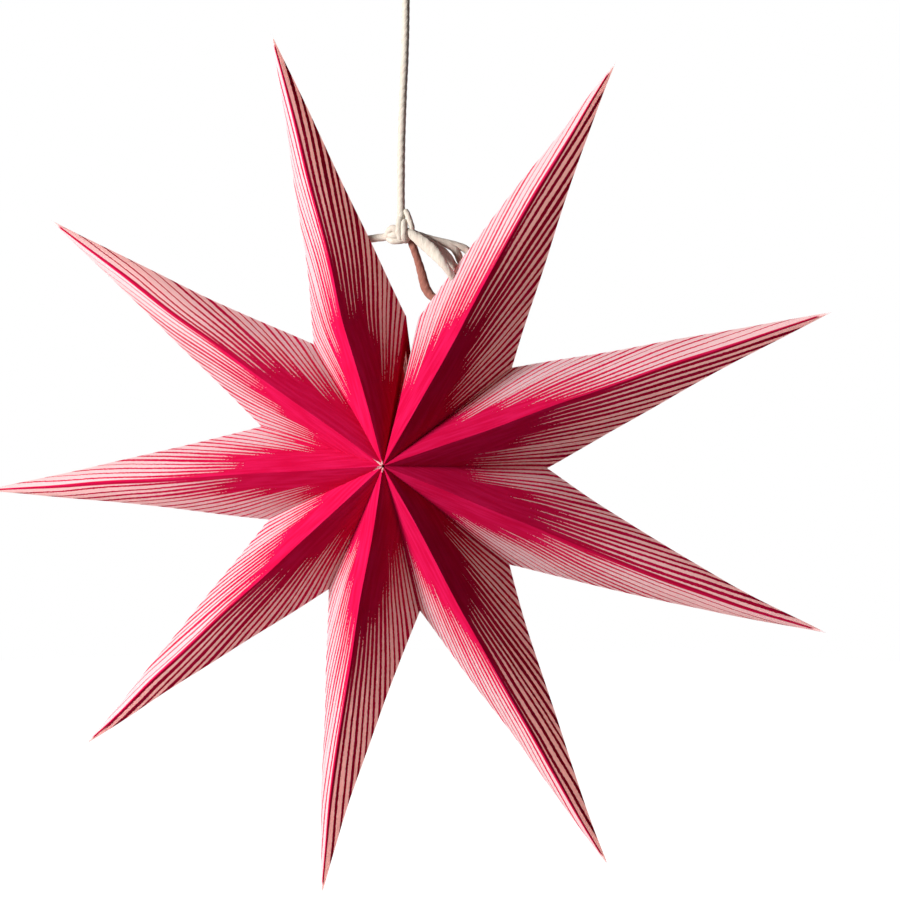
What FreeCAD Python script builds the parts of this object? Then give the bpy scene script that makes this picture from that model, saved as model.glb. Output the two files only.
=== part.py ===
import FreeCAD, Part
import math
import os

# A folded paper star that hangs from a cotton cord.
# Millimetres, +Z up, front towards -Y, origin where a hook carries the hanging loop.

# The star
star_radius = 225.0          # centre to the tip of a point
notch_radius = 74.5          # centre to the notch between two points
half_depth = 45.0            # mid plane to the front centre, and to the back centre
tied_gap_deg = 5.0           # wedge between the first and the last point, which are tied
gap_direction_deg = 85.0     # middle of that wedge, 90 is straight up
hub_radius = 1.5             # small hole where the points meet
star_centre = FreeCAD.Vector(-3.5, 0.0, -284.0)

# How far each point is fanned out, clockwise from the tied gap. The hand-hung star
# is wider on the right than on the left.
opening_shares = (42.5, 41.5, 40.5, 40.0, 38.0, 37.5, 37.0, 39.0, 39.0)

# The paper
paper = 0.4                  # thickness
flange_width = 9.0           # glued strip along each valley fold

# The cords
cord_diameter = 3.9
cord_sides = 16              # flats of a cord's section, which has the area of a round one
arc_step_deg = 12.0          # turn from one ring of a cord's bend to the next
hole_clearance = 0.3         # between a cord and the rim of its hole
seat_clearance = 0.1         # round a cord's end where it enters a knot
stopper_radius = 3.5
lump_sides = 24              # flats round each lump of a knot
lump_bands = 6               # flats from one pole of a lump to the other
stopper_gap = 0.15           # between a stopper knot and the paper that holds it
bend_share = 0.45            # part of the shorter run that each bend takes up

# Routes of the cords, from the star's centre. They follow the tied cords by eye.
left_tie_route = [
    (-5.6, 1.2, 114.0), (-12.8, 4.4, 114.0), (-20.4, 2.1, 112.4),
]
right_tie_route = [
    (4.6, -2.0, 116.2), (16.0, -3.5, 109.0), (26.1, -8.2, 97.7), (29.8, 0.6, 88.9),
    (31.5, 10.0, 94.4), (33.0, 8.0, 105.5), (24.0, 5.0, 111.5), (14.0, 3.0, 114.8),
    (4.8, 2.2, 116.6),
]
rear_tie_route = [
    (3.2, 1.2, 112.2), (8.8, 4.5, 101.0), (11.2, 7.8, 90.0), (24.3, 3.5, 80.3),
]
hanging_cord_route = [
    (0.8, 0.0, 121.5), (0.5, 0.0, 145.0), (1.6, 0.0, 183.0), (3.2, 0.0, 212.0),
    (3.3, 0.0, 241.0),
]

# Lumps of the knots, from the star's centre, as place, radius and axis
tie_knot_lumps = [
    ((2.4, 0.0, 115.6), 5.2, (0, 0, 1)), ((1.0, 0.0, 119.6), 4.4, (0, 0, 1)),
    ((-2.9, -0.3, 114.8), 4.3, (1, 0, 0)), ((5.4, -0.8, 122.4), 3.0, (0.4, 0, 1)),
]
loop_knot_lumps = [
    ((3.3, 0.0, 244.0), 4.8, (0, 0, 1)), ((3.6, 0.0, 249.5), 5.1, (0, 0, 1)),
]

# The hanging loop, whose top is at the origin
loop_bend_radius = 8.0       # of its centre line round a hook
loop_foot_drop = 31.0        # from the top of the loop to its ends in the knot
loop_foot_spread = 4.8       # between those two ends


def vector(x, y, z):
    return FreeCAD.Vector(x, y, z)


def closed_form(tip_x, notch_x, notch_z, hub_x, hub_y):
    """Closed form with a tip, two side notches, and a front and a back corner at the hub."""
    tip = vector(tip_x, 0, 0)
    left = vector(notch_x, 0, notch_z)
    right = vector(notch_x, 0, -notch_z)
    front = vector(hub_x, -hub_y, 0)
    back = vector(hub_x, hub_y, 0)
    sides = [
        (front, tip, left), (front, right, tip), (back, left, tip), (back, tip, right),
        (front, left, back), (front, back, right),
    ]
    faces = [Part.Face(Part.makePolygon([a, b, c, a])) for a, b, c in sides]
    form = Part.makeSolid(Part.makeShell(faces))
    if form.Volume < 0:
        form.reverse()
    return form


def notch_place(opening):
    """Side notch of a point that lies along +X."""
    half = math.radians(opening / 2)
    return notch_radius * math.cos(half), notch_radius * math.sin(half)


def wall_slope(opening):
    """Share of the half depth that a wall loses for each millimetre away from its ridge."""
    notch_x, notch_z = notch_place(opening)
    return (1 - notch_x / star_radius) / notch_z


def wall_steepness(opening):
    """Length of the wall's normal where its plane is x / R + y / depth + z * slope = 1."""
    return math.hypot(1 / star_radius, 1 / half_depth, wall_slope(opening))


def hollow_form(opening):
    """Space inside a point: the outer form less one thickness of paper on every side."""
    half = math.radians(opening / 2)
    slope = wall_slope(opening)
    level = 1 - paper * wall_steepness(opening)
    notch_x = (level + slope * paper / math.cos(half)) / (1 / star_radius + slope * math.tan(half))
    notch_z = (notch_x * math.sin(half) - paper) / math.cos(half)
    hub_x = paper / math.sin(half)
    hub_y = half_depth * (level - hub_x / star_radius)
    return closed_form(level * star_radius, notch_x, notch_z, hub_x, hub_y)


def flange_window(opening):
    """Cutter for the open part of both side walls, which leaves a glued strip at each fold."""
    half = math.radians(opening / 2)
    fold = math.atan2(half_depth, notch_radius)
    end_x = (notch_radius - flange_width / math.sin(fold)) * math.cos(half)
    start_y = half_depth - flange_width / math.cos(fold)
    reach = notch_radius
    corners = [vector(0, -start_y, -reach), vector(end_x, 0, -reach), vector(0, start_y, -reach)]
    face = Part.Face(Part.makePolygon(corners + corners[:1]))
    return face.extrude(vector(0, 0, 2 * reach))


def folded_point(opening, direction):
    """One point of the star, folded from a sheet, with its glued strips turned in."""
    notch_x, notch_z = notch_place(opening)
    hub_hole = Part.makeCylinder(hub_radius, 3 * half_depth, vector(0, -1.5 * half_depth, 0),
                                 vector(0, 1, 0))
    shell = closed_form(star_radius, notch_x, notch_z, 0, half_depth)
    shell = shell.cut(hollow_form(opening)).cut(flange_window(opening)).cut(hub_hole)
    shell.rotate(vector(0, 0, 0), vector(0, 1, 0), -direction)
    return shell


def fanned_openings():
    """Opening angle of each point, and the direction it points in."""
    unit = (360 - tied_gap_deg) / sum(opening_shares)
    edge = gap_direction_deg - tied_gap_deg / 2
    fan = []
    for share in opening_shares:
        opening = share * unit
        fan.append((opening, edge - opening / 2))
        edge -= opening
    return fan


def rear_wall(opening, direction, side):
    """Base and outward normal of a rear wall. side is 1 for its left one, -1 for its right."""
    normal = vector(1 / star_radius, 1 / half_depth, side * wall_slope(opening)).normalize()
    base = vector(0, half_depth, 0)
    turn = FreeCAD.Rotation(vector(0, 1, 0), -direction)
    return turn.multVec(base), turn.multVec(normal)


def arc_stations(centre, arm, axis, turn):
    """Places and directions round an arc, which starts at the end of its arm."""
    steps = math.ceil(math.degrees(turn) / arc_step_deg)
    stations = []
    for step in range(steps + 1):
        spin = FreeCAD.Rotation(axis, math.degrees(turn) * step / steps)
        swung = spin.multVec(arm)
        stations.append((centre + swung, axis.cross(swung).normalize()))
    return stations


def rounded_path(places, name):
    """Straight runs joined by tangent arcs, each as large as its two runs allow."""
    points = [vector(*place) for place in places]
    stations = [(points[0], (points[1] - points[0]).normalize())]
    radii = []
    for before, corner, after in zip(points, points[1:], points[2:]):
        run_in = corner - before
        run_out = after - corner
        trim = bend_share * min(run_in.Length, run_out.Length)
        turn = run_in.getAngle(run_out)
        radius = trim / math.tan(turn / 2)
        run_in.normalize()
        run_out.normalize()
        inward = (run_out - run_in).normalize()
        centre = corner + inward * (radius / math.cos(turn / 2))
        arm = corner - run_in * trim - centre
        stations += arc_stations(centre, arm, run_in.cross(run_out).normalize(), turn)
        radii.append(radius)
    stations.append((points[-1], (points[-1] - points[-2]).normalize()))
    print(name, "bend radii", [round(radius, 1) for radius in radii])
    return stations


def path_length(path):
    return sum((after - before).Length for (before, _), (after, _) in zip(path, path[1:]))


def faceted_solid(rings):
    """Closed solid through rings of corners, with flat ends."""
    faces = [Part.Face(Part.makePolygon(ring + ring[:1])) for ring in (rings[0], rings[-1])]
    for near, far in zip(rings, rings[1:]):
        for index in range(len(near)):
            corners = [near[index - 1], near[index], far[index], far[index - 1]]
            faces.append(Part.Face(Part.makePolygon(corners + corners[:1])))
    solid = Part.makeSolid(Part.makeShell(faces))
    if solid.Volume < 0:
        solid.reverse()
    return solid


def tube(path, radius):
    """Cord of one radius along a path, with the area of a round one."""
    turn = 2 * math.pi / cord_sides
    reach = radius * math.sqrt(turn / math.sin(turn))
    before = path[0][1]
    across = before.cross(vector(0, 1, 0)).normalize()
    rings = []
    for place, along in path:
        axis = before.cross(along)
        if axis.Length > 1e-9:
            bend = math.degrees(before.getAngle(along))
            across = FreeCAD.Rotation(axis, bend).multVec(across)
        up = along.cross(across)
        rings.append([place + (across * math.cos(turn * side) + up * math.sin(turn * side)) * reach
                      for side in range(cord_sides)])
        before = along
    return faceted_solid(rings)


def cord(path, name):
    solid = tube(path, cord_diameter / 2)
    length = path_length(path)
    expected = math.pi * (cord_diameter / 2) ** 2 * length
    print(name, "length", round(length, 1), "volume share", round(solid.Volume / expected, 4))
    return solid


def lump(place, radius, axis):
    """Round lump of a knot, with flats round its axis."""
    turn = FreeCAD.Rotation(vector(0, 0, 1), vector(*axis))
    rings = []
    for band in range(lump_bands):
        rise = math.pi * ((band + 0.5) / lump_bands - 0.5)
        ring = []
        for side in range(lump_sides):
            round_by = 2 * math.pi * side / lump_sides
            corner = vector(math.cos(rise) * math.cos(round_by),
                            math.cos(rise) * math.sin(round_by), math.sin(rise)) * radius
            ring.append(vector(*place) + turn.multVec(corner))
        rings.append(ring)
    return faceted_solid(rings)


def knot(lumps, paths):
    """Plain lumps of a knot, with a flat seat for the end of each cord that enters it."""
    turned = [lump(place, radius, axis) for place, radius, axis in lumps]
    body = turned[0].multiFuse(turned[1:]) if len(turned) > 1 else turned[0]
    for path in paths:
        body = body.cut(tube(path, cord_diameter / 2 + seat_clearance))
    return body


def tie_to_stopper(route, wall):
    """Route that ends at a stopper knot just inside a wall, and that knot's only lump."""
    base, normal = wall
    bend = vector(*route[-2])
    along = (vector(*route[-1]) - bend).normalize()
    depth = paper + stopper_gap + stopper_radius
    distance = ((bend - base).dot(normal) + depth) / -along.dot(normal)
    centre = bend + along * distance
    end = centre - along * (stopper_radius / 2)
    return route[:-1] + [tuple(end)], (tuple(centre), stopper_radius, tuple(along))


def hanging_loop_path():
    """Two straight legs and one bend round the hook, tangent to both."""
    axis = vector(0, 0, cord_diameter / 2 - loop_bend_radius)
    foot = vector(-loop_foot_spread / 2, 0, -loop_foot_drop)
    to_foot = foot - axis
    lean = math.atan2(to_foot.z, to_foot.x)
    touch = lean - math.acos(loop_bend_radius / to_foot.Length)
    arm = vector(math.cos(touch), 0, math.sin(touch)) * loop_bend_radius
    bend = arc_stations(axis, arm, vector(0, 1, 0), 2 * math.atan2(-arm.x, arm.z) % (2 * math.pi))
    rise = (bend[0][0] - foot).normalize()
    stations = [(foot, rise)] + bend + [(vector(-foot.x, 0, foot.z), vector(rise.x, 0, -rise.z))]
    return [(place - star_centre, along) for place, along in stations]


def build():
    """All pieces by name, with the star's centre at zero."""
    fan = fanned_openings()
    first_opening, first_direction = fan[0]
    last_opening, last_direction = fan[-1]
    left_places, left_stop = tie_to_stopper(left_tie_route,
                                            rear_wall(last_opening, last_direction, -1))
    rear_places, rear_stop = tie_to_stopper(rear_tie_route,
                                            rear_wall(first_opening, first_direction, 1))
    paths = {
        "left_tie": rounded_path(left_places, "left_tie"),
        "right_tie": rounded_path(right_tie_route, "right_tie"),
        "rear_tie": rounded_path(rear_places, "rear_tie"),
        "hanging_cord": rounded_path(hanging_cord_route, "hanging_cord"),
        "hanging_loop": hanging_loop_path(),
    }
    pieces = {name: cord(path, name) for name, path in paths.items()}
    pieces["tie_knot"] = knot(tie_knot_lumps, [paths[name] for name in
                                               ("left_tie", "right_tie", "rear_tie", "hanging_cord")])
    pieces["loop_knot"] = knot(loop_knot_lumps, [paths["hanging_cord"], paths["hanging_loop"]])
    pieces["left_stopper"] = knot([left_stop], [paths["left_tie"]])
    pieces["rear_stopper"] = knot([rear_stop], [paths["rear_tie"]])

    threaded = {0: ["right_tie", "rear_tie"], len(fan) - 1: ["left_tie"]}
    for index, (opening, direction) in enumerate(fan):
        point = folded_point(opening, direction)
        for name in threaded.get(index, []):
            point = point.cut(tube(paths[name], cord_diameter / 2 + hole_clearance))
        pieces["point_%d" % (index + 1)] = point
    return pieces


os.makedirs("parts", exist_ok=True)
for piece_name, piece in build().items():
    piece.translate(star_centre)
    piece.exportStep("parts/%s.step" % piece_name)
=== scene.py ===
import bpy
import bmesh
import math
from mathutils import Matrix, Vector, noise


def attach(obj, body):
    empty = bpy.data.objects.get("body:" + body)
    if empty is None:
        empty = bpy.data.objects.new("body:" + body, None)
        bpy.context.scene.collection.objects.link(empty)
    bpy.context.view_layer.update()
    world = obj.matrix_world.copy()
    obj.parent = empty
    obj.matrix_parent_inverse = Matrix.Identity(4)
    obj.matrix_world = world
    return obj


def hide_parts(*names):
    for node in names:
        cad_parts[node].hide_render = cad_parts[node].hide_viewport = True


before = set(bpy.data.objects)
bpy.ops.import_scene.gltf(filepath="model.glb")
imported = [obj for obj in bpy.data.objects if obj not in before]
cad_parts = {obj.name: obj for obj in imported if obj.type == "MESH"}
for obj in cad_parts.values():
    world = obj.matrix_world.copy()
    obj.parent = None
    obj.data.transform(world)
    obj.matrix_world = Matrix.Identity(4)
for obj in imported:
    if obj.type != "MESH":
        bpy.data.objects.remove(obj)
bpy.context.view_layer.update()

MM = 0.001
STAR_CENTRE = Vector((-3.5, 0.0, -284.0))

# The folded star, in millimetres, as in the part's source
STAR_RADIUS = 225.0
NOTCH_RADIUS = 74.5
HALF_DEPTH = 45.0
FLANGE_WIDTH = 9.0
PAPER = 0.4
TIED_GAP_DEG = 5.0
GAP_DIRECTION_DEG = 85.0
OPENING_SHARES = (42.5, 41.5, 40.5, 40.0, 38.0, 37.5, 37.0, 39.0, 39.0)

# The twisted cord, in millimetres and shares of its radius
CORD_RADIUS = 1.95
CORD_STEP = 0.6                   # between two rings of the mesh
CORD_SIDES = 24
PLIES = 3
PLY_PITCH = 13.0                  # length of a full twist
PLY_GROOVE = 0.10
SWELL = 0.05                      # slow change of the radius
SWELL_RATE = 0.11
FUZZ = 0.03                       # quick change of the radius
FUZZ_RATE = (0.7, 0.9)            # along the cord, and from side to side
END_NARROWING = 0.6
END_BULGE = 0.35
STRAND_TURN = 1.7                 # between the twists of two strands of one piece
HOLE_CLEARANCE = 0.3
HOLE_STEP = 1.5
HOLE_SIDES = 16
KNOT_SIDES = 18
STOPPER_SIDES = 16

# Routes of the cords from the star's centre, as in the part's source
LEFT_TIE = [(-5.6, 1.2, 114.0), (-12.8, 4.4, 114.0), (-20.65, 2.03, 112.35)]
RIGHT_TIE = [
    (4.6, -2.0, 116.2), (15.6, -3.6, 108.8), (25.4, -8.2, 97.7), (29.8, 0.6, 88.9),
    (32.5, 10.0, 94.4), (35.4, 8.2, 107.0), (25.0, 5.2, 110.4), (14.0, 2.6, 112.6),
    (4.8, 2.2, 116.2),
]
RIGHT_TIE_TURNS = [
    [(9.0, -1.0, 114.6), (15.4, -0.5, 110.8), (21.2, 0.5, 107.2), (25.2, 2.0, 102.8),
     (26.8, 4.0, 98.4), (29.2, 8.4, 97.2)],
    [(19.0, 4.2, 111.5), (25.6, 4.8, 109.8), (29.4, 6.2, 104.0), (30.6, 8.4, 97.6)],
]
REAR_TIE = [(5.0, 1.2, 113.0), (9.2, 3.6, 101.5), (13.0, 7.0, 82.0), (23.56, 3.74, 80.85)]
HANGING_CORD = [
    (0.8, 0.0, 121.5), (0.5, 0.0, 145.0), (1.6, 0.0, 183.0), (3.2, 0.0, 212.0),
    (3.3, 0.0, 241.0),
]
HANGING_LOOP = [
    (1.1, 0.0, 253.0), (-5.1, 0.0, 279.4), (-0.4, 0.0, 285.95), (7.4, 0.0, 285.95),
    (12.1, 0.0, 279.4), (5.9, 0.0, 253.0),
]

# Turns of the knots, from the star's centre, with the radius of each turn's cord
TIE_KNOT_TURNS = [
    [(0.4, 0.4, 124.0), (0.3, -1.6, 121.0), (0.2, -3.4, 117.0), (0.8, -2.8, 112.8),
     (1.6, 0.6, 111.8), (2.0, 3.0, 114.6), (1.4, 2.8, 119.0)],
    [(1.4, 2.2, 121.0), (2.4, -1.0, 121.8), (3.0, -3.7, 117.4), (2.8, -3.2, 112.8),
     (3.2, -0.4, 111.6), (3.8, 2.2, 113.0)],
    [(2.0, 1.4, 124.4), (2.6, 0.2, 127.2), (4.2, -0.8, 125.0), (5.6, -1.9, 121.4),
     (6.9, -1.9, 117.8), (5.6, -1.6, 113.4), (3.6, 0.2, 112.6)],
    [(-6.4, 1.2, 114.0), (-5.6, -1.0, 116.4), (-3.0, -2.4, 118.2), (-0.4, -2.4, 116.8),
     (1.2, -0.6, 114.6)],
    [(-6.2, 1.4, 113.2), (-4.4, -1.6, 111.6), (-1.0, -2.6, 111.2), (2.4, -2.0, 111.6),
     (4.6, -0.6, 113.0)],
    [(-4.8, -0.4, 114.2), (-2.6, -2.6, 114.4), (0.0, -2.4, 114.2), (2.0, -1.0, 115.0)],
    [(5.4, 2.2, 116.2), (1.6, 3.0, 117.2), (-2.2, 2.6, 116.2), (-5.2, 1.8, 114.4)],
]
TIE_KNOT_RADII = (1.9, 1.8, 1.5, 1.9, 1.5, 1.9, 1.8)
KNOT_TURN_STEPS = 12              # points between two of a turn's places

# Overhand knots: place, size and radius of the cord
TREFOIL_STEPS = 72
LOOP_KNOT = (3.5, 0.0, 247.0)
LOOP_KNOT_SIZE = 1.15
LOOP_KNOT_RADIUS = 1.9
LEFT_STOP = (-22.29, 1.53, 112.0)
REAR_STOP = (24.92, 3.30, 79.84)
STOPPER_SIZE = 0.7
STOPPER_RADIUS = 1.35

# Where a cord's plies lie side by side: how much, the middle and half length, the direction
RIGHT_OPENED = (0.7, 14.0, 18.0, Vector((0.70, 0.0, 0.71)))
REAR_OPENED = (0.35, 28.0, 20.0, Vector((1.0, 0.0, 0.0)))

# Camera, from the photo's perspective
CAMERA_AZIMUTH_DEG = 10.9
CAMERA_ELEVATION_DEG = 1.6
CAMERA_DISTANCE = 0.9
CAMERA_TARGET = (25.65, 0.0, 6.98)
SENSOR_WIDTH = 36.0
FOCAL_LENGTH = 71.96
NEAR_CLIP = 0.01

# Light and floor, in metres and watts
KEY_IN_PLANE_DEG = 161.0          # from the right through the top, seen from the front
KEY_FORWARD_DEG = 41.0
KEY_DISTANCE = 2.6
KEY_SIZE = 0.76
KEY_POWER = 123.0
FILL = 0.03                       # the background's light on the object
FLOOR_RADIUS = 3.0
FLOOR_SIDES = 96
FLOOR_LEVEL = -0.80
FLOOR_COLOUR = (0.45, 0.45, 0.45, 1.0)
WHITE = (1.0, 1.0, 1.0, 1.0)


def in_frame(place):
    """A place in millimetres from the star's centre, in metres in the frame."""
    return (STAR_CENTRE + Vector(place)) * MM


def smooth(value):
    value = max(0.0, min(1.0, value))
    return value * value * (3 - 2 * value)


def link(name, mesh):
    piece = bpy.data.objects.new(name, mesh)
    bpy.context.scene.collection.objects.link(piece)
    return piece


# Camera

def aim(thing, place, target):
    thing.location = place
    thing.rotation_mode = "QUATERNION"
    thing.rotation_quaternion = (target - place).to_track_quat("-Z", "Y")


def make_camera():
    azimuth = math.radians(CAMERA_AZIMUTH_DEG)
    elevation = math.radians(CAMERA_ELEVATION_DEG)
    target = in_frame(CAMERA_TARGET)
    away = Vector((math.sin(azimuth) * math.cos(elevation),
                   -math.cos(azimuth) * math.cos(elevation), math.sin(elevation)))
    data = bpy.data.cameras.new("camera")
    data.sensor_width = SENSOR_WIDTH
    data.lens = FOCAL_LENGTH
    data.clip_start = NEAR_CLIP
    camera = link("camera", data)
    aim(camera, target + away * CAMERA_DISTANCE, target)
    bpy.context.scene.camera = camera


# Cords

def spline_points(name, route, resolution=24):
    """Points along the smooth line of a route."""
    data = bpy.data.curves.new(name, "CURVE")
    data.dimensions = "3D"
    data.resolution_u = resolution
    spline = data.splines.new("NURBS")
    spline.points.add(len(route) - 1)
    for point, place in zip(spline.points, route):
        point.co = (*in_frame(place), 1.0)
    spline.order_u = 3
    spline.use_endpoint_u = True
    carrier = link(name, data)
    bpy.context.view_layer.update()
    mesh = bpy.data.meshes.new_from_object(carrier)
    points = [vertex.co.copy() for vertex in mesh.vertices]
    bpy.data.meshes.remove(mesh)
    bpy.data.objects.remove(carrier)
    bpy.data.curves.remove(data)
    return points


def evenly(points, step):
    """The same line with its points a step apart."""
    lengths = [0.0]
    for before, after in zip(points, points[1:]):
        lengths.append(lengths[-1] + (after - before).length)
    count = max(2, round(lengths[-1] / step))
    places = []
    index = 0
    for number in range(count + 1):
        at = lengths[-1] * number / count
        while index < len(points) - 2 and lengths[index + 1] < at:
            index += 1
        span = lengths[index + 1] - lengths[index]
        share = (at - lengths[index]) / span if span else 0.0
        places.append(points[index].lerp(points[index + 1], share))
    return places


def add_cord(mesh, points, radius, seed, sides=CORD_SIDES, opened=None):
    """Twisted cord along a line: a tube with one soft groove between each two plies.

    Where it is opened, its plies lie side by side across the direction given, more so at the
    place named, over a length in millimetres.
    """
    layer = mesh.loops.layers.uv.verify()
    places = evenly(points, CORD_STEP * MM)
    tangents = []
    for index in range(len(places)):
        before = places[max(index - 1, 0)]
        after = places[min(index + 1, len(places) - 1)]
        tangents.append((after - before).normalized())
    across = tangents[0].orthogonal().normalized()
    rings = []
    travelled = 0.0
    for index, place in enumerate(places):
        if index:
            turn = tangents[index - 1].rotation_difference(tangents[index])
            across = (turn @ across).normalized()
            travelled += (place - places[index - 1]).length / MM
        up = tangents[index].cross(across)
        twist = 2 * math.pi * travelled / PLY_PITCH + seed
        swell = 1.0 + SWELL * noise.noise(Vector((travelled * SWELL_RATE, seed, 0.0)))
        ring = []
        for side in range(sides):
            angle = 2 * math.pi * side / sides
            groove = abs(math.cos(PLIES * (angle - twist) / 2))
            groove = 1.0 - PLY_GROOVE * (1.0 - math.sqrt(groove))
            spot = Vector((travelled * FUZZ_RATE[0], side * FUZZ_RATE[1], seed))
            fuzz = 1.0 + FUZZ * noise.noise(spot)
            reach = radius * MM * groove * swell * fuzz
            offset = across * math.cos(angle) + up * math.sin(angle)
            if opened:
                wide, at, length, sideways = opened
                share = smooth(1.0 - abs(travelled - at) / length)
                offset += sideways * offset.dot(sideways) * wide * share
            ring.append(mesh.verts.new(place + offset * reach))
        rings.append((ring, travelled, twist))
    for (ring, start, _), (after, end, _) in zip(rings, rings[1:]):
        for side in range(sides):
            beside = (side + 1) % sides
            face = mesh.faces.new((ring[side], ring[beside], after[beside], after[side]))
            face.smooth = True
            corners = ((side, start), (side + 1, start), (side + 1, end), (side, end))
            for loop, (number, at) in zip(face.loops, corners):
                loop[layer].uv = (number / sides - at / PLY_PITCH, at / PLY_PITCH)
    for (ring, at, _), inward in ((rings[0], tangents[0]), (rings[-1], -tangents[-1])):
        close_end(mesh, layer, ring, at, inward, radius, inward == tangents[0])


def close_end(mesh, layer, ring, at, inward, radius, first):
    """Rounded end of a cord, past its first or last ring."""
    sides = len(ring)
    centre = sum((vertex.co for vertex in ring), Vector()) / sides
    shrunk = [mesh.verts.new(centre.lerp(vertex.co, END_NARROWING)
                             - inward * radius * MM * END_BULGE)
              for vertex in ring]
    for side in range(sides):
        beside = (side + 1) % sides
        corners = [ring[side], ring[beside], shrunk[beside], shrunk[side]]
        if first:
            corners.reverse()
        face = mesh.faces.new(corners)
        face.smooth = True
        for loop in face.loops:
            loop[layer].uv = (side / sides, at / PLY_PITCH)
    cap = mesh.faces.new(shrunk[::-1] if first else shrunk)
    for loop in cap.loops:
        loop[layer].uv = (0.5, at / PLY_PITCH)


def cord_piece(name, node, lines, radii, seed, material, **form):
    """A piece of cord, one strand for each line, which stands for a node of the part."""
    mesh = bmesh.new()
    for number, (points, radius) in enumerate(zip(lines, radii)):
        add_cord(mesh, points, radius, seed + STRAND_TURN * number, **form)
    bmesh.ops.recalc_face_normals(mesh, faces=mesh.faces)
    data = bpy.data.meshes.new(name)
    mesh.to_mesh(data)
    mesh.free()
    data.materials.append(material)
    piece = link(name, data)
    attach(piece, "root")
    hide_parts(node)
    return piece


def trefoil(centre, axis, size):
    """Line of an overhand knot, closed, round an axis."""
    turn = Vector((0, 0, 1)).rotation_difference(Vector(axis))
    points = []
    for number in range(TREFOIL_STEPS + 1):
        angle = 2 * math.pi * number / TREFOIL_STEPS
        place = Vector((math.sin(angle) + 2 * math.sin(2 * angle),
                        math.cos(angle) - 2 * math.cos(2 * angle), -math.sin(3 * angle)))
        points.append(in_frame(Vector(centre) + turn @ place * size))
    return points


# Materials

# The print's lines fan out from the hub. Angles are in degrees from the ridge, reach and
# lengths in millimetres, and a stripe's width is a share of its line's spacing.
FAN_LINES = 35.9
FAN_ANGLE = 47.2                  # the spacing of the lines doubles over this angle
FAN_SHIFT = 0.2                   # of all the lines of a wall
WAVER = (0.05, 0.4, 0.2)          # rate by reach, rate by angle, and amount
ROUGHNESS_RATE = 0.6
BUNDLE_SHIFT = 1.2
STRIPES_START = 79.0              # reach at which a bundle of stripes starts
STRIPES_SPREAD = 15.0             # how much later the last stripes of a bundle start
# Which side of an angle a bundle lies on, the angle, and how much later it starts
BUNDLES = (("GREATER_THAN", 9.4, -14.0), ("GREATER_THAN", 15.2, -20.0), ("LESS_THAN", 2.6, 7.0))
FIRST_WIDTH = 0.32
INNER_WIDTH = 0.70
OUTER_WIDTH = 0.84
WIDENING_REACH = (130.0, 195.0)
GROWTH_ANGLES = (6.0, 18.0)
GROWTH_LENGTHS = (60.0, 28.0)     # from the first width to the full one, at those angles
WIDTH_SPREAD = (0.76, 0.44)       # least share of a stripe's width, and what chance adds
# Bolder lines of ink on the front walls that lie in shade: painted shade, growing with reach
SHADE_BOLD_REACH = (110.0, 195.0)
SHADE_BOLD_LOSS = (-0.20, -0.34)        # of the stripes' width, on the walls given bolder lines of ink as painted shade
BREAK_RATES = (0.9, 4.0)          # along a stripe's broken start, and across it
BREAK_LENGTH = 26.0
BREAK_EDGE = (-1.5, 4.5)
LEAN = 0.2                        # how far a stripe leaves the middle of its line
EDGE_BLUR = 4.2                   # of a stripe's edge, in line spacings by reach
THINNEST = 0.12                   # stripes fade below this width
RIDGE_LENGTHS = (150.0, 226.0)
RIDGE_WIDTHS = (1.5, 0.6)         # half the line of ink along the ridge, at those lengths
RIDGE_EDGE = 0.2
BARE_TIP = (210.0, 218.0)
BARE_TIP_WAVER = 8.0
BARE_END = (221.0, 224.0)

# Colours and finish of the paper
INK = ((0.50, 0.003, 0.042, 1.0), (0.58, 0.008, 0.072, 1.0))
PAPER_WHITE = ((0.97, 0.83, 0.90, 1.0), (1.00, 0.91, 0.98, 1.0))
THIN_INK = (0.95, 0.58, 0.62, 1.0)             # where a stripe starts
THIN_INK_LENGTH = 45.0
UNPRINTED = ((0.94, 0.70, 0.66, 1.0), (0.98, 0.78, 0.74, 1.0))
INK_GLOW = (0.9, 0.02, 0.03, 1.0)
PAPER_GLOW = (1.0, 0.92, 0.90, 1.0)
THROUGH = 0.62                    # share of the light that bare paper lets through
THROUGH_INK = 0.04                # the same where the paper is printed
THROUGH_BACK = 0.90               # the same for the side that isn't seen
PATCHES = (0.3, 0.7)              # levels of a noise between which one colour turns to another
STREAKS = (0.35, 0.7)
STREAK_RATES = (0.05, 0.6)
FRAY_RATE = 0.8
FRAY_EDGE = 0.03
INK_ROUGHNESS = 0.46
BARE_ROUGHNESS = 0.62
INK_RELIEF = -0.25
PAPER_BUMP = 0.0003

# Colours of the cord: dark, light and stained
PALE_CORD = ((0.52, 0.45, 0.37, 1.0), (0.68, 0.62, 0.54, 1.0), (0.64, 0.50, 0.43, 1.0))
# The rear tie's cord, darker and redder than the rest: painted shade, with the red light that the
# paper throws on it painted in
CORD_IN_PAINTED_SHADE = ((0.24, 0.085, 0.060, 1.0), (0.36, 0.15, 0.11, 1.0), (0.30, 0.10, 0.075, 1.0))
FIBRE_RATES = (26.0, 5.0)
STAIN_RATES = (3.0, 1.6)
STAIN_LEVELS = (0.45, 0.75)
STAIN = 0.5
CORD_BUMP = 0.0005


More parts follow.
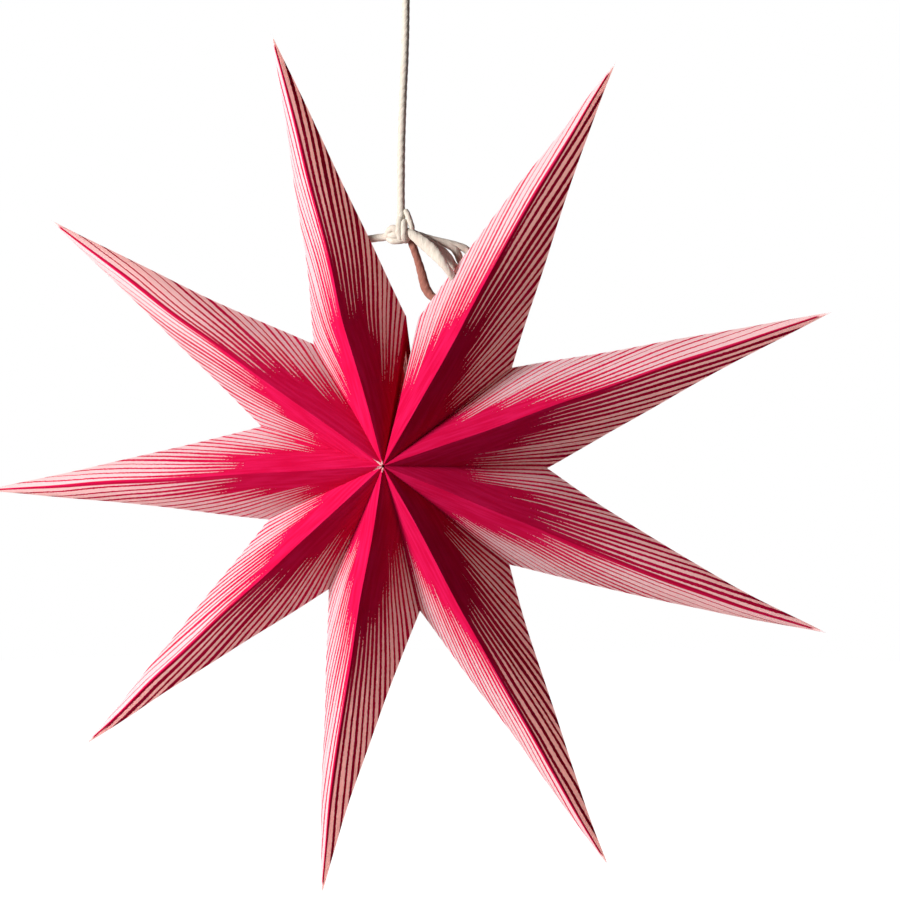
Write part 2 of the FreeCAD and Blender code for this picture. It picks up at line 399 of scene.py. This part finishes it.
class Maths:
    """Short forms for chains of nodes in one tree."""

    def __init__(self, tree):
        self.tree = tree

    def feed(self, socket, value):
        if isinstance(value, bpy.types.NodeSocket):
            self.tree.links.new(value, socket)
        else:
            socket.default_value = value

    def do(self, operation, *values):
        node = self.tree.nodes.new("ShaderNodeMath")
        node.operation = operation
        for socket, value in zip(node.inputs, values):
            self.feed(socket, value)
        return node.outputs[0]

    def ramp(self, value, low, high, start=0.0, end=1.0):
        node = self.tree.nodes.new("ShaderNodeMapRange")
        node.interpolation_type = "SMOOTHSTEP"
        for name, entry in (("Value", value), ("From Min", low), ("From Max", high),
                            ("To Min", start), ("To Max", end)):
            self.feed(node.inputs[name], entry)
        return node.outputs["Result"]

    def place(self, x, y, z):
        node = self.tree.nodes.new("ShaderNodeCombineXYZ")
        for socket, value in zip(node.inputs, (x, y, z)):
            self.feed(socket, value)
        return node.outputs[0]

    def noise(self, vector, scale=1.0, detail=2.0):
        node = self.tree.nodes.new("ShaderNodeTexNoise")
        self.feed(node.inputs["Vector"], vector)
        node.inputs["Scale"].default_value = scale
        node.inputs["Detail"].default_value = detail
        return node.outputs["Fac"]

    def random(self, vector):
        node = self.tree.nodes.new("ShaderNodeTexWhiteNoise")
        self.feed(node.inputs["Vector"], vector)
        return node.outputs["Value"]

    def mix(self, share, first, second):
        node = self.tree.nodes.new("ShaderNodeMix")
        node.data_type = "RGBA"
        self.feed(node.inputs[0], share)
        self.feed(node.inputs[6], first)
        self.feed(node.inputs[7], second)
        return node.outputs[2]


def new_material(name):
    material = bpy.data.materials.new(name)
    material.use_nodes = True
    tree = material.node_tree
    shader = tree.nodes["Principled BSDF"]
    return material, tree, shader, Maths(tree)


def map_parts(tree, name):
    """The two numbers of a UV map."""
    node = tree.nodes.new("ShaderNodeUVMap")
    node.uv_map = name
    split = tree.nodes.new("ShaderNodeSeparateXYZ")
    tree.links.new(node.outputs[0], split.inputs[0])
    return split.outputs[0], split.outputs[1]


def flat_place(tree, m):
    """Millimetres along the ridge and away from it, and the number of the wall."""
    first, second = map_parts(tree, "flat")
    along = m.do("MULTIPLY", first, UV_SPAN)
    wall = m.do("FLOOR", second)
    across = m.do("MULTIPLY", m.do("FRACT", second), UV_SPAN)
    return along, across, wall


def add_bump(tree, shader, height, strength, distance):
    bump = tree.nodes.new("ShaderNodeBump")
    bump.inputs["Strength"].default_value = strength
    bump.inputs["Distance"].default_value = distance
    tree.links.new(height, bump.inputs["Height"])
    tree.links.new(bump.outputs["Normal"], shader.inputs["Normal"])


def let_light_through(tree, shader, colour, share):
    """Thin paper glows a little where the light behind it comes through."""
    through = tree.nodes.new("ShaderNodeBsdfTranslucent")
    tree.links.new(colour, through.inputs["Color"])
    both = tree.nodes.new("ShaderNodeMixShader")
    Maths(tree).feed(both.inputs[0], share)
    tree.links.new(shader.outputs[0], both.inputs[1])
    tree.links.new(through.outputs[0], both.inputs[2])
    tree.links.new(both.outputs[0], tree.nodes["Material Output"].inputs["Surface"])


def fan_lines(m, reach, angle, wall):
    """Position across the fan, a whole number from one line to the next, and its waver."""
    by_reach, by_angle, amount = WAVER
    waver = m.noise(m.place(m.do("MULTIPLY", reach, by_reach), m.do("MULTIPLY", angle, by_angle),
                            wall), 1.0, 1.0)
    rough = m.noise(m.place(m.do("MULTIPLY", reach, ROUGHNESS_RATE), angle, wall), 1.0, 2.0)
    waver = m.do("MULTIPLY_ADD", waver, amount, -amount / 2)
    waver = m.do("ADD", waver, m.do("MULTIPLY_ADD", rough, amount, -amount / 2))
    spread = m.do("LOGARITHM", m.do("MULTIPLY_ADD", angle, 1 / FAN_ANGLE, 1.0), math.e)
    line = m.do("MULTIPLY_ADD", spread, FAN_LINES, waver)
    shift = m.do("MULTIPLY", m.random(m.place(wall, 3.5, 0.5)), FAN_SHIFT)
    return m.do("ADD", line, shift), waver


def stripe_start(m, angle, chance, wall):
    """Where a stripe starts, and the angle by which its bundle is chosen."""
    shift = m.do("MULTIPLY_ADD", m.random(m.place(wall, 0.5, 5.5)), 2 * BUNDLE_SHIFT,
                 -BUNDLE_SHIFT)
    turned = m.do("ADD", angle, shift)
    start = STRIPES_START
    for side, bound, change in BUNDLES:
        start = m.do("MULTIPLY_ADD", m.do(side, turned, bound), change, start)
    late = m.do("MULTIPLY", m.do("POWER", chance, 3.0), STRIPES_SPREAD)
    return m.do("ADD", start, late), turned


def stripe_width(m, reach, past, turned, chance, shade_bold):
    most = m.ramp(reach, *WIDENING_REACH, INNER_WIDTH, OUTER_WIDTH)
    length = m.ramp(turned, *GROWTH_ANGLES, *GROWTH_LENGTHS)
    width = m.ramp(past, 0.0, length, FIRST_WIDTH, most)
    least, more = WIDTH_SPREAD
    width = m.do("MULTIPLY", width, m.do("MULTIPLY_ADD", chance, more, least))
    # Narrower bare stripes on the walls that lie in shade: painted shade
    painted_shade_narrowing = m.do("MULTIPLY", shade_bold, m.ramp(reach, *SHADE_BOLD_REACH, *SHADE_BOLD_LOSS))
    return m.do("MULTIPLY", width, m.do("ADD", painted_shade_narrowing, 1.0))


def broken_start(m, reach, past, line, wall):
    """How far a stripe has begun: its start is broken into flecks."""
    flecks = m.noise(m.place(m.do("MULTIPLY", reach, BREAK_RATES[0]),
                             m.do("MULTIPLY", line, BREAK_RATES[1]), wall), 1.0, 1.0)
    begun = m.do("MULTIPLY_ADD", flecks, -BREAK_LENGTH, BREAK_LENGTH / 2)
    return m.ramp(m.do("ADD", past, begun), *BREAK_EDGE)


def stripes(m, along, across, wall, shade_bold):
    """Where the paper is bare between the lines of ink, and how far past a stripe's start."""
    angle = m.do("MULTIPLY", m.do("ARCTAN2", across, along), 180 / math.pi)
    reach = m.do("SQRT", m.do("ADD", m.do("MULTIPLY", across, across),
                              m.do("MULTIPLY", along, along)))
    line, waver = fan_lines(m, reach, angle, wall)
    number = m.do("FLOOR", line)
    start_chance, width_chance, lean_chance = [m.random(m.place(number, wall, draw))
                                               for draw in (0.5, 7.5, 12.5)]
    start, turned = stripe_start(m, angle, start_chance, wall)
    past = m.do("SUBTRACT", reach, start)
    width = stripe_width(m, reach, past, turned, width_chance, shade_bold)
    width = m.do("MULTIPLY", width, broken_start(m, reach, past, line, wall))

    middle = m.do("MULTIPLY_ADD", lean_chance, LEAN, 0.5 - LEAN / 2)
    aside = m.do("ABSOLUTE", m.do("SUBTRACT", m.do("FRACT", line), middle))
    edge = m.do("SUBTRACT", m.do("MULTIPLY", width, 0.5), aside)
    blur = m.do("DIVIDE", EDGE_BLUR, reach)
    bare = m.ramp(m.do("DIVIDE", edge, blur), -0.5, 0.5)
    bare = m.do("MULTIPLY", bare, m.ramp(width, 0.0, THINNEST))

    tip = m.ramp(m.do("ADD", along, m.do("MULTIPLY", waver, BARE_TIP_WAVER)), *BARE_TIP)
    bare = m.do("MAXIMUM", bare, tip)
    ridge = m.ramp(along, *RIDGE_LENGTHS, *RIDGE_WIDTHS)
    clear = m.ramp(m.do("SUBTRACT", across, ridge), -RIDGE_EDGE, RIDGE_EDGE)
    bare = m.do("MULTIPLY", bare, clear)
    return m.do("MAXIMUM", bare, m.ramp(along, *BARE_END)), past


def printed_paper():
    material, tree, shader, m = new_material("printed_paper")
    along, across, wall = flat_place(tree, m)
    wear_highlight_shade, shade_bold = map_parts(tree, "wear_highlight_shade")
    bare, past = stripes(m, along, across, wall, shade_bold)
    fray = m.noise(m.place(m.do("MULTIPLY", along, FRAY_RATE), across, wall), 1.0, 2.0)
    # Bare paper at the raw edges of the hub, and along lit folds there as painted highlights
    worn_and_highlit = m.ramp(m.do("SUBTRACT", wear_highlight_shade, fray), -FRAY_EDGE, FRAY_EDGE)
    bare = m.do("MAXIMUM", bare, worn_and_highlit)
    streak = m.noise(m.place(m.do("MULTIPLY", along, STREAK_RATES[0]),
                             m.do("MULTIPLY", across, STREAK_RATES[1]), wall), 1.0, 2.0)
    ink = m.mix(m.ramp(streak, *STREAKS), *INK)
    fibre = m.noise(m.place(along, across, wall), 1.4, 4.0)
    paper = m.mix(m.ramp(fibre, *PATCHES), *PAPER_WHITE)
    paper = m.mix(m.ramp(past, 0.0, THIN_INK_LENGTH), THIN_INK, paper)
    tree.links.new(m.mix(bare, ink, paper), shader.inputs["Base Color"])
    roughness = m.ramp(bare, 0.0, 1.0, INK_ROUGHNESS, BARE_ROUGHNESS)
    tree.links.new(roughness, shader.inputs["Roughness"])
    shader.inputs["Specular IOR Level"].default_value = 0.0
    grain = m.noise(m.place(along, across, wall), 2.6, 3.0)
    add_bump(tree, shader, m.do("MULTIPLY_ADD", bare, INK_RELIEF, grain), 0.12, PAPER_BUMP)
    let_light_through(tree, shader, m.mix(bare, INK_GLOW, PAPER_GLOW),
                      m.ramp(bare, 0.0, 1.0, THROUGH_INK, THROUGH))
    return material


def plain_paper():
    material, tree, shader, m = new_material("plain_paper")
    along, across, wall = flat_place(tree, m)
    fibre = m.noise(m.place(along, across, wall), 1.1, 4.0)
    paper = m.mix(m.ramp(fibre, *PATCHES), *UNPRINTED)
    tree.links.new(paper, shader.inputs["Base Color"])
    shader.inputs["Roughness"].default_value = 0.8
    shader.inputs["Specular IOR Level"].default_value = 0.15
    add_bump(tree, shader, fibre, 0.15, PAPER_BUMP)
    let_light_through(tree, shader, paper, THROUGH_BACK)
    return material


def cotton_cord(name, dark, light, stain):
    material, tree, shader, m = new_material(name)
    around, onward = map_parts(tree, "")
    fibres = m.noise(m.place(m.do("MULTIPLY", around, FIBRE_RATES[0]),
                             m.do("MULTIPLY", onward, FIBRE_RATES[1]), 0.0), 1.0, 4.0)
    stains = m.noise(m.place(m.do("MULTIPLY", around, STAIN_RATES[0]),
                             m.do("MULTIPLY", onward, STAIN_RATES[1]), 4.0), 1.0, 2.0)
    cotton = m.mix(m.ramp(fibres, *PATCHES), dark, light)
    cotton = m.mix(m.ramp(stains, *STAIN_LEVELS, 0.0, STAIN), cotton, stain)
    tree.links.new(cotton, shader.inputs["Base Color"])
    shader.inputs["Roughness"].default_value = 0.9
    shader.inputs["Specular IOR Level"].default_value = 0.1
    shader.inputs["Sheen Weight"].default_value = 0.15
    shader.inputs["Sheen Roughness"].default_value = 0.6
    add_bump(tree, shader, fibres, 0.5, CORD_BUMP)
    return material


# The folded points

UV_SPAN = 100.0                   # millimetres in one unit of the flat map
CURLS = {3: 3.0, 5: 1.2}          # sideways curl of a tip, to the left seen along the point
STRETCH = {9: 2.7}                # how much longer a point is than the others
SWAY = {1: 1.4, 2: 0.8, 3: -1.5, 4: -0.8, 5: -1.0, 8: 0.6, 9: -0.8}   # of a point's middle
CURL_START = 0.45                 # share of the radius
OUTLINE_BOW = -0.7
BULGE = 1.1
BULGE_POWER = 0.8
UNEVENNESS = 0.9
UNEVENNESS_RATE = 0.022
UNEVENNESS_PLACE = Vector((3.0, 1.0, 8.0))
UNEVENNESS_SEED = 153             # noise_vector would follow the clock without a seed
EVEN_RADIUS = 20.0                # around the hub, where the folds meet
EVEN_FADE = 60.0
HUB_SHIFT = Vector((1.6, 0.0, 0.4))
HUB_START = 0.8                   # of the sheets, from the hub's own point
ROWS_IN = 22
ROWS_OUT = 44
COLUMNS = 10

# Print, wear and painted light by point: the front wall with bolder lines as painted shade, and
# lengths of raw edge at the hub, which on the ridge of point 8 and the valley of points 6 and 7
# are also painted highlights
SHADE_BOLD_WALL = {1: 1, 2: 1, 3: 0, 4: 0, 5: 0, 6: 0, 9: 1}
RIDGE_WEAR_AND_HIGHLIGHT = {8: 7.0, 9: 3.5, 5: 4.0}
RIDGE_WEAR_AND_HIGHLIGHT_WIDTH = 1.1
VALLEY_WEAR_AND_HIGHLIGHT = {7: (9.0, 0.0), 6: (0.0, 7.0)}   # along the valleys to left and right
VALLEY_WEAR_AND_HIGHLIGHT_WIDTH = 1.5
WEAR_LEVEL = 0.3                  # at a raw edge's end: the noise is bare below this level
WEAR_RATE = 0.12
FLANGE_FLAT = (0.2, 50.1)
FLANGE_WEAR = (-1.0, 0.0)

# The sheets as solids
RIM_CLAMP = 1.2
MERGE_DISTANCE = 0.02
FOLD_DEG = 24.0                   # edges that are sharper than this show as folds


def fanned_openings():
    unit = (360 - TIED_GAP_DEG) / sum(OPENING_SHARES)
    edge = GAP_DIRECTION_DEG - TIED_GAP_DEG / 2
    fan = []
    for share in OPENING_SHARES:
        opening = share * unit
        fan.append((opening, edge - opening / 2))
        edge -= opening
    return fan


class FoldedPoint:
    """One point of the star, as a single sheet that the paper's thickness is added to."""

    def __init__(self, number, opening, direction):
        self.number = number
        self.half = math.radians(opening / 2)
        self.direction = math.radians(direction)
        self.notch = Vector((NOTCH_RADIUS * math.cos(self.half), 0.0,
                             NOTCH_RADIUS * math.sin(self.half)))
        self.front = Vector((0.0, -HALF_DEPTH, 0.0))
        self.tip = Vector((STAR_RADIUS, 0.0, 0.0))
        self.ridge = (self.tip - self.front).normalized()
        self.ridge_length = (self.tip - self.front).length
        to_notch = self.notch - self.front
        self.notch_along = to_notch.dot(self.ridge)
        aside = to_notch - self.ridge * self.notch_along
        self.notch_across = aside.length
        self.aside = aside.normalized()
        self.normal = self.aside.cross(self.ridge).normalized()
        if self.normal.y > 0:
            self.normal.negate()
        outline = self.tip - self.notch
        self.outward = Vector((-outline.z, 0.0, outline.x)).normalized()

    def width(self, along):
        if along <= self.notch_along:
            return along * self.notch_across / self.notch_along
        left = self.ridge_length - along
        return left * self.notch_across / (self.ridge_length - self.notch_along)

    def wall_place(self, along, share):
        """Place on the front left wall, share being 0 on the ridge and 1 at its far side."""
        across = self.width(along) * share
        place = self.front + self.ridge * along + self.aside * across
        swell = math.sin(math.pi * along / self.ridge_length) ** BULGE_POWER
        place += self.normal * BULGE * swell * 4 * share * (1 - share)
        if along > self.notch_along:
            out = (along - self.notch_along) / (self.ridge_length - self.notch_along)
            place += self.outward * OUTLINE_BOW * 4 * out * (1 - out) * share
        return place

    def bend(self, place):
        """Curl and stretch of the tip, and the slight unevenness of hand folding."""
        beyond = smooth((place.x / STAR_RADIUS - CURL_START) / (1 - CURL_START))
        moved = place.copy()
        moved.z += CURLS.get(self.number, 0.0) * beyond * beyond
        moved.x += STRETCH.get(self.number, 0.0) * beyond
        out = max(0.0, (place.x - NOTCH_RADIUS) / (STAR_RADIUS - NOTCH_RADIUS))
        moved.z += SWAY.get(self.number, 0.0) * 4 * out * (1 - out)
        turned = Vector((
            moved.x * math.cos(self.direction) - moved.z * math.sin(self.direction), moved.y,
            moved.x * math.sin(self.direction) + moved.z * math.cos(self.direction)))
        away = smooth((math.hypot(turned.x, turned.z) - EVEN_RADIUS) / EVEN_FADE)
        uneven = noise.noise_vector(turned * UNEVENNESS_RATE + UNEVENNESS_PLACE)
        turned += Vector(uneven) * UNEVENNESS * away + HUB_SHIFT * (1.0 - away)
        return in_frame(turned)

    def alongs(self):
        inner = [HUB_START + (self.notch_along - HUB_START) * row / ROWS_IN
                 for row in range(ROWS_IN)]
        outer = [self.notch_along + (self.ridge_length - self.notch_along) * row / ROWS_OUT
                 for row in range(ROWS_OUT + 1)]
        return inner + outer

    def wear_and_highlight_level(self, wall, along, across, share):
        """How worn the sheet is: raw edges at the hub, longer on some folds of the front, where
        the bare paper is also a painted highlight on lit folds.
        """
        edge = 0.0
        if wall < 2:
            valley_wear_and_highlight = VALLEY_WEAR_AND_HIGHLIGHT.get(self.number, (0.0, 0.0))[wall]
            to_valley = self.width(along) * (1 - share)
            edge = max(RIDGE_WEAR_AND_HIGHLIGHT.get(self.number, 0.0) * (1 - across / RIDGE_WEAR_AND_HIGHLIGHT_WIDTH),
                       valley_wear_and_highlight * (1 - to_valley / VALLEY_WEAR_AND_HIGHLIGHT_WIDTH))
        return WEAR_LEVEL + (edge - along + HUB_START) * WEAR_RATE

    def build(self):
        mesh = bmesh.new()
        flat = mesh.loops.layers.uv.new("flat")
        wear_highlight_shade = mesh.loops.layers.uv.new("wear_highlight_shade")
        alongs = self.alongs()
        for wall, (side, facing) in enumerate(((1, 1), (-1, 1), (1, -1), (-1, -1))):
            code = (self.number - 1) * 4 + wall
            # 1 on the front wall that lies in shade, whose bolder ink lines are painted shade
            shade_bold = float(SHADE_BOLD_WALL.get(self.number) == wall)
            grid = []
            for along in alongs:
                row = []
                for column in range(COLUMNS + 1):
                    share = column / COLUMNS
                    local = self.wall_place(along, share)
                    local = Vector((local.x, local.y * facing, local.z * side))
                    across = self.width(along) * share
                    row.append((mesh.verts.new(self.bend(local)), along, across, share))
                grid.append(row)
            for near, far in zip(grid, grid[1:]):
                for column in range(COLUMNS):
                    corners = [near[column], near[column + 1], far[column + 1], far[column]]
                    if side * facing > 0:
                        corners.reverse()
                    face = mesh.faces.new([corner[0] for corner in corners])
                    face.smooth = True
                    for loop, (_, along, across, share) in zip(face.loops, corners):
                        loop[flat].uv = (along / UV_SPAN, across / UV_SPAN + code)
                        loop[wear_highlight_shade].uv = (self.wear_and_highlight_level(wall, along, across, share), shade_bold)
        self.add_flanges(mesh, flat, wear_highlight_shade, alongs)
        bmesh.ops.remove_doubles(mesh, verts=mesh.verts, dist=MERGE_DISTANCE * MM)
        bmesh.ops.recalc_face_normals(mesh, faces=mesh.faces)
        return mesh

    def add_flanges(self, mesh, flat, wear_highlight_shade, alongs):
        """Glued strips turned in at the valley folds, each a V of even width."""
        fold = math.atan2(HALF_DEPTH, NOTCH_RADIUS)
        inner_end = NOTCH_RADIUS - FLANGE_WIDTH / math.sin(fold)
        inner_start = HALF_DEPTH - FLANGE_WIDTH / math.cos(fold)
        for side in (1, -1):
            direction = Vector((math.cos(self.half), 0.0, side * math.sin(self.half)))
            for facing in (1, -1):
                pairs = []
                for along in alongs[:ROWS_IN + 1]:
                    share = along / self.notch_along
                    outer = self.wall_place(along, 1.0)
                    outer = Vector((outer.x, outer.y * facing, outer.z * side))
                    inner = direction * inner_end * share
                    inner.y = -facing * inner_start * (1 - share)
                    pairs.append((mesh.verts.new(self.bend(outer)),
                                  mesh.verts.new(self.bend(inner)), along))
                for near, far in zip(pairs, pairs[1:]):
                    corners = [near[0], far[0], far[1], near[1]]
                    if side * facing < 0:
                        corners.reverse()
                    face = mesh.faces.new(corners)
                    for loop in face.loops:
                        loop[flat].uv = FLANGE_FLAT
                        loop[wear_highlight_shade].uv = FLANGE_WEAR


def solid_sheet(name, mesh, cutters=()):
    """The sheet with the paper's thickness turned inward, and its holes cut."""
    data = bpy.data.meshes.new(name)
    mesh.to_mesh(data)
    mesh.free()
    data.materials.append(paper_print)
    data.materials.append(paper_plain)
    piece = link(name, data)
    thick = piece.modifiers.new("thickness", "SOLIDIFY")
    thick.thickness = PAPER * MM
    thick.offset = -1.0
    thick.use_even_offset = True
    thick.thickness_clamp = RIM_CLAMP
    thick.use_rim = True
    thick.material_offset = 1
    thick.material_offset_rim = 1
    for tool in cutters:
        hole = piece.modifiers.new("hole", "BOOLEAN")
        hole.operation = "DIFFERENCE"
        hole.solver = "EXACT"
        hole.object = tool
    bpy.context.view_layer.update()
    graph = bpy.context.evaluated_depsgraph_get()
    result = bpy.data.meshes.new_from_object(piece.evaluated_get(graph))
    piece.modifiers.clear()
    piece.data = result
    bpy.data.meshes.remove(data)
    mark_folds(result)
    return piece


def mark_folds(data):
    mesh = bmesh.new()
    mesh.from_mesh(data)
    sharp = math.radians(FOLD_DEG)
    for edge in mesh.edges:
        edge.smooth = len(edge.link_faces) == 2 and edge.calc_face_angle(0.0) < sharp
    for face in mesh.faces:
        face.smooth = True
    mesh.to_mesh(data)
    mesh.free()


def hole_cutter(name, points):
    """A plain tube that is wider than the cord, for the hole that the cord passes."""
    radius = CORD_RADIUS + HOLE_CLEARANCE
    mesh = bmesh.new()
    places = evenly(points, HOLE_STEP * MM)
    rings = []
    across = (places[1] - places[0]).orthogonal().normalized()
    for index, place in enumerate(places):
        along = (places[min(index + 1, len(places) - 1)] - places[max(index - 1, 0)]).normalized()
        across = (across - along * across.dot(along)).normalized()
        up = along.cross(across)
        ring = []
        for side in range(HOLE_SIDES):
            angle = 2 * math.pi * side / HOLE_SIDES
            offset = across * math.cos(angle) + up * math.sin(angle)
            ring.append(mesh.verts.new(place + offset * radius * MM))
        rings.append(ring)
    for near, far in zip(rings, rings[1:]):
        for side in range(HOLE_SIDES):
            beside = (side + 1) % HOLE_SIDES
            mesh.faces.new((near[side], near[beside], far[beside], far[side]))
    mesh.faces.new(rings[0][::-1])
    mesh.faces.new(rings[-1])
    bmesh.ops.recalc_face_normals(mesh, faces=mesh.faces)
    data = bpy.data.meshes.new(name)
    mesh.to_mesh(data)
    mesh.free()
    return link(name, data)


# Light, floor and background

def white_backdrop(tree, strength):
    """Strength seen by the camera, in gloss and through glass, and nothing for other rays."""
    path = tree.nodes.new("ShaderNodeLightPath")
    m = Maths(tree)
    seen = m.do("MAXIMUM", path.outputs["Is Camera Ray"], path.outputs["Is Glossy Ray"])
    seen = m.do("MAXIMUM", seen, path.outputs["Is Transmission Ray"])
    return m.do("MULTIPLY", seen, strength)


def make_stage():
    world = bpy.data.worlds.new("studio")
    bpy.context.scene.world = world
    world.use_nodes = True
    tree = world.node_tree
    background = tree.nodes["Background"]
    background.inputs["Color"].default_value = WHITE
    level = Maths(tree).do("ADD", white_backdrop(tree, 1.0 - FILL), FILL)
    tree.links.new(level, background.inputs["Strength"])

    mesh = bmesh.new()
    bmesh.ops.create_circle(mesh, cap_ends=True, segments=FLOOR_SIDES, radius=FLOOR_RADIUS)
    data = bpy.data.meshes.new("floor")
    mesh.to_mesh(data)
    mesh.free()
    floor = link("floor", data)
    floor.location = (0.0, 0.0, FLOOR_LEVEL)
    material, tree, shader, _ = new_material("floor")
    shader.inputs["Base Color"].default_value = FLOOR_COLOUR
    shader.inputs["Roughness"].default_value = 0.9
    shader.inputs["Specular IOR Level"].default_value = 0.0
    shader.inputs["Emission Color"].default_value = WHITE
    tree.links.new(white_backdrop(tree, 1.0), shader.inputs["Emission Strength"])
    data.materials.append(material)


def make_key_light():
    data = bpy.data.lights.new("key", "AREA")
    data.shape = "DISK"
    data.size = KEY_SIZE
    data.energy = KEY_POWER
    lamp = link("key", data)
    turn = math.radians(KEY_IN_PLANE_DEG)
    lean = math.radians(KEY_FORWARD_DEG)
    away = Vector((math.cos(turn) * math.cos(lean), -math.sin(lean),
                   math.sin(turn) * math.cos(lean)))
    centre = in_frame((0.0, 0.0, 0.0))
    aim(lamp, centre + away * KEY_DISTANCE, centre)


noise.seed_set(UNEVENNESS_SEED)
make_camera()
cotton = cotton_cord("cotton_cord", *PALE_CORD)
cord_in_shade = cotton_cord("cord_in_painted_shade", *CORD_IN_PAINTED_SHADE)
paper_print = printed_paper()
paper_plain = plain_paper()

# Pieces of cord, each with its own seed

hanging_line = spline_points("hanging_cord_route", HANGING_CORD)
loop_line = spline_points("hanging_loop_route", HANGING_LOOP)
left_line = spline_points("left_tie_route", LEFT_TIE)
right_line = spline_points("right_tie_route", RIGHT_TIE)
rear_line = spline_points("rear_tie_route", REAR_TIE)
turn_lines = [spline_points("turn", turn, KNOT_TURN_STEPS) for turn in TIE_KNOT_TURNS]
left_knot_line = trefoil(LEFT_STOP, left_line[-1] - left_line[-2], STOPPER_SIZE)
rear_knot_line = trefoil(REAR_STOP, rear_line[-1] - rear_line[-2], STOPPER_SIZE)

hanging = cord_piece("hanging_cord_twist", "hanging_cord", [hanging_line], [CORD_RADIUS], 1.0,
                     cotton)
loop = cord_piece("hanging_loop_twist", "hanging_loop", [loop_line], [CORD_RADIUS], 2.0, cotton)
cord_piece("left_tie_twist", "left_tie", [left_line], [CORD_RADIUS], 3.0, cotton)
right_cord = cord_piece("right_tie_twist", "right_tie", [right_line], [CORD_RADIUS], 4.0, cotton,
                        opened=RIGHT_OPENED)
right_turn = cord_piece("right_tie_turn", "right_tie",
                        [spline_points("right_turn_route", turn) for turn in RIGHT_TIE_TURNS],
                        [CORD_RADIUS] * len(RIGHT_TIE_TURNS), 5.7, cotton)
# The rear tie takes the cord painted darker and redder: painted shade and painted red light
rear_cord = cord_piece("rear_tie_twist", "rear_tie", [rear_line], [CORD_RADIUS], 5.0, cord_in_shade,
                       opened=REAR_OPENED)
cord_piece("tie_knot_turns", "tie_knot", turn_lines, TIE_KNOT_RADII, 6.0, cotton,
           sides=KNOT_SIDES)
loop_turns = cord_piece("loop_knot_turns", "loop_knot",
                        [trefoil(LOOP_KNOT, (0, 0, 1), LOOP_KNOT_SIZE)], [LOOP_KNOT_RADIUS], 7.0,
                        cotton, sides=KNOT_SIDES)
cord_piece("left_stopper_turns", "left_stopper", [left_knot_line], [STOPPER_RADIUS], 8.0, cotton,
           sides=STOPPER_SIDES)
rear_turns = cord_piece("rear_stopper_turns", "rear_stopper", [rear_knot_line],
                        [STOPPER_RADIUS], 9.0, cotton, sides=STOPPER_SIDES)

# The nine points, with holes where cords pass

right_cutter = hole_cutter("right_cutter", right_line)
rear_cutter = hole_cutter("rear_cutter", rear_line)
left_cutter = hole_cutter("left_cutter", left_line)
holes = {1: [right_cutter, rear_cutter], 9: [left_cutter]}
for number, (opening, direction) in enumerate(fanned_openings(), 1):
    folded = FoldedPoint(number, opening, direction)
    piece = solid_sheet("folded_point_%d" % number, folded.build(), holes.get(number, ()))
    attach(piece, "root")
    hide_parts("point_%d" % number)
for spent in (right_cutter, rear_cutter, left_cutter):
    bpy.data.objects.remove(spent)

make_stage()
make_key_light()

scene = bpy.context.scene
scene.view_settings.view_transform = "Standard"

bpy.context.view_layer.update()
